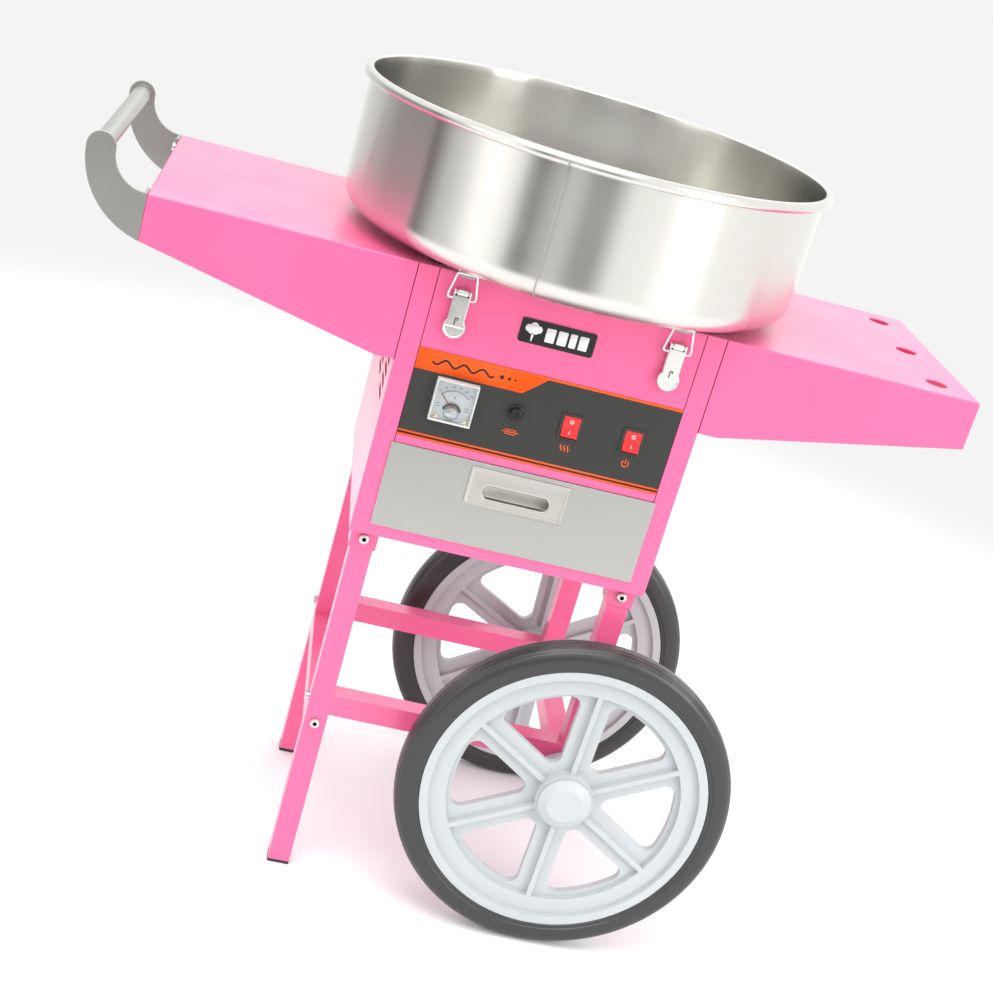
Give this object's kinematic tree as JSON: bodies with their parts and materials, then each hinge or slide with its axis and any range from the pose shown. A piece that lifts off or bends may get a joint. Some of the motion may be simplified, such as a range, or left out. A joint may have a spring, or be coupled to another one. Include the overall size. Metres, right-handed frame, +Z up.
{
  "type": "cotton candy machine",
  "caption": "Cotton candy machine on a wheeled cart: deep steel bowl round a spinning head, cabinet with controls and drawer, side trays, push handle.",
  "frame": {"origin": "on the floor, under the middle of the machine's overall length and width", "axes": "+X along the cart towards the tray with the cone holes and the wheels, +Y from the control side to the back, +Z up"},
  "size_m": [0.956, 0.5199, 0.893],
  "materials": {
    "pink_paint": "gloss powder coat",
    "brushed_stainless": "brushed",
    "galvanised_sheet": "galvanised sheet",
    "zinc_bolts": "zinc plated",
    "bright_nickel": "polished nickel",
    "label_film": "satin printed film",
    "badge_black": "gloss",
    "black_plastic": "moulded",
    "soft_rubber": "soft",
    "tyre_rubber": "moulded",
    "grey_nylon": "fine grain",
    "white_plastic": "gloss",
    "clear_cover": "clear",
    "red_needle": "painted",
    "red_rocker": "gloss",
    "motor_enamel": "enamel",
    "ground_steel": "ground",
    "ring_brass": "turned",
    "spun_aluminium": "spun",
    "perforated_steel": "perforated",
    "element_sheath": "heat tinted"
  },
  "bodies": {
    "cart": {"cabinet_frame": "pink_paint", "front_panel": "pink_paint", "control_label": "label_film", "badge_plate": "badge_black", "side_panels": "pink_paint", "back_panel": "pink_paint", "cable_gland": "black_plastic", "top_plate": "pink_paint", "base_plate": "galvanised_sheet", "drawer_runners": "galvanised_sheet", "left_tray": "pink_paint", "right_tray": "pink_paint", "handle": "brushed_stainless", "handle_bolts": "zinc_bolts", "left_legs": "pink_paint", "right_legs": "pink_paint", "foot_caps": "black_plastic", "cross_rails": "pink_paint", "side_rails": "pink_paint", "frame_bolts": "zinc_bolts", "axle": "zinc_bolts", "axle_fittings": "zinc_bolts", "motor": "motor_enamel", "motor_bracket": "galvanised_sheet", "brush_holder": "black_plastic", "bowl_pads": "soft_rubber", "latch_bases": "bright_nickel", "meter_case": "white_plastic", "meter_window": "clear_cover", "fuse_holder": "black_plastic", "switch_housings": "black_plastic"},
    "spinner": {"spinner_shaft": "ground_steel", "slip_rings": "ring_brass", "head_base": "spun_aluminium", "heater_ring": "element_sheath", "floss_band": "perforated_steel", "head_cap": "spun_aluminium"},
    "front_wheel": {"wheel_front": "grey_nylon", "tyre_front": "tyre_rubber", "hub_cap_front": "grey_nylon"},
    "rear_wheel": {"wheel_rear": "grey_nylon", "tyre_rear": "tyre_rubber", "hub_cap_rear": "grey_nylon"},
    "drawer": {"drawer_box": "galvanised_sheet", "drawer_front": "brushed_stainless", "drawer_pull": "brushed_stainless"},
    "bowl": {"bowl": "brushed_stainless", "bowl_catches": "brushed_stainless"},
    "heat_rocker": {"rocker_heat": "red_rocker"},
    "power_rocker": {"rocker_power": "red_rocker"},
    "needle": {"meter_needle": "red_needle"},
    "fuse_carrier": {"fuse_cap": "black_plastic"},
    "lever_front_left": {"latch_lever_front_left": "bright_nickel"},
    "bail_front_left": {"latch_bail_front_left": "bright_nickel"},
    "lever_front_right": {"latch_lever_front_right": "bright_nickel"},
    "bail_front_right": {"latch_bail_front_right": "bright_nickel"},
    "lever_rear_left": {"latch_lever_rear_left": "bright_nickel"},
    "bail_rear_left": {"latch_bail_rear_left": "bright_nickel"},
    "lever_rear_right": {"latch_lever_rear_right": "bright_nickel"},
    "bail_rear_right": {"latch_bail_rear_right": "bright_nickel"}
  },
  "joints": [
    {"name": "spinner_turn", "type": "hinge", "parent": "cart", "child": "spinner", "pos_m": [0.0295, 0, 0.7], "axis": [0, 0, 1], "continuous": true},
    {"name": "front_wheel_turn", "type": "hinge", "parent": "cart", "child": "front_wheel", "pos_m": [0.1705, -0.186, 0.19], "axis": [0, 1, 0], "continuous": true},
    {"name": "rear_wheel_turn", "type": "hinge", "parent": "cart", "child": "rear_wheel", "pos_m": [0.1705, 0.186, 0.19], "axis": [0, 1, 0], "continuous": true},
    {"name": "drawer_slide", "type": "slide", "parent": "cart", "child": "drawer", "axis": [0, -1, 0], "range_m": [0, 0.21]},
    {"name": "bowl_lift", "type": "slide", "parent": "cart", "child": "bowl", "axis": [0, 0, 1], "range_m": [0, 0.2]},
    {"name": "heat_rocker_press", "type": "hinge", "parent": "cart", "child": "heat_rocker", "pos_m": [0.0617, -0.1557, 0.604], "axis": [1, 0, 0], "range_deg": [0, 13]},
    {"name": "power_rocker_press", "type": "hinge", "parent": "cart", "child": "power_rocker", "pos_m": [0.1292, -0.1557, 0.604], "axis": [1, 0, 0], "range_deg": [0, 13]},
    {"name": "needle_swing", "type": "hinge", "parent": "cart", "child": "needle", "pos_m": [-0.0645, -0.163, 0.594], "axis": [0, 1, 0], "range_deg": [0, 92], "stiffness_Nm_per_rad": 0.001},
    {"name": "fuse_pull", "type": "slide", "parent": "cart", "child": "fuse_carrier", "axis": [0, -1, 0], "range_m": [0, 0.03]},
    {"name": "lever_front_left_open", "type": "hinge", "parent": "cart", "child": "lever_front_left", "pos_m": [-0.0855, -0.1657, 0.718], "axis": [-1, 0, 0], "range_deg": [0, 110]},
    {"name": "bail_front_left_swing", "type": "hinge", "parent": "lever_front_left", "child": "bail_front_left", "pos_m": [-0.0855, -0.1657, 0.711], "axis": [-1, 0, 0], "range_deg": [-145, 0]},
    {"name": "lever_front_right_open", "type": "hinge", "parent": "cart", "child": "lever_front_right", "pos_m": [0.1445, -0.1657, 0.718], "axis": [-1, 0, 0], "range_deg": [0, 110]},
    {"name": "bail_front_right_swing", "type": "hinge", "parent": "lever_front_right", "child": "bail_front_right", "pos_m": [0.1445, -0.1657, 0.711], "axis": [-1, 0, 0], "range_deg": [-145, 0]},
    {"name": "lever_rear_left_open", "type": "hinge", "parent": "cart", "child": "lever_rear_left", "pos_m": [-0.0855, 0.1657, 0.718], "axis": [1, 0, 0], "range_deg": [0, 110]},
    {"name": "bail_rear_left_swing", "type": "hinge", "parent": "lever_rear_left", "child": "bail_rear_left", "pos_m": [-0.0855, 0.1657, 0.711], "axis": [1, 0, 0], "range_deg": [-145, 0]},
    {"name": "lever_rear_right_open", "type": "hinge", "parent": "cart", "child": "lever_rear_right", "pos_m": [0.1445, 0.1657, 0.718], "axis": [1, 0, 0], "range_deg": [0, 110]},
    {"name": "bail_rear_right_swing", "type": "hinge", "parent": "lever_rear_right", "child": "bail_rear_right", "pos_m": [0.1445, 0.1657, 0.711], "axis": [1, 0, 0], "range_deg": [-145, 0]}
  ],
  "couplings": [
    {"joint": "bail_front_left_swing", "follows": "lever_front_left_open", "ratio": -1.3},
    {"joint": "bail_front_right_swing", "follows": "lever_front_right_open", "ratio": -1.3},
    {"joint": "bail_rear_left_swing", "follows": "lever_rear_left_open", "ratio": -1.3},
    {"joint": "bail_rear_right_swing", "follows": "lever_rear_right_open", "ratio": -1.3}
  ]
}
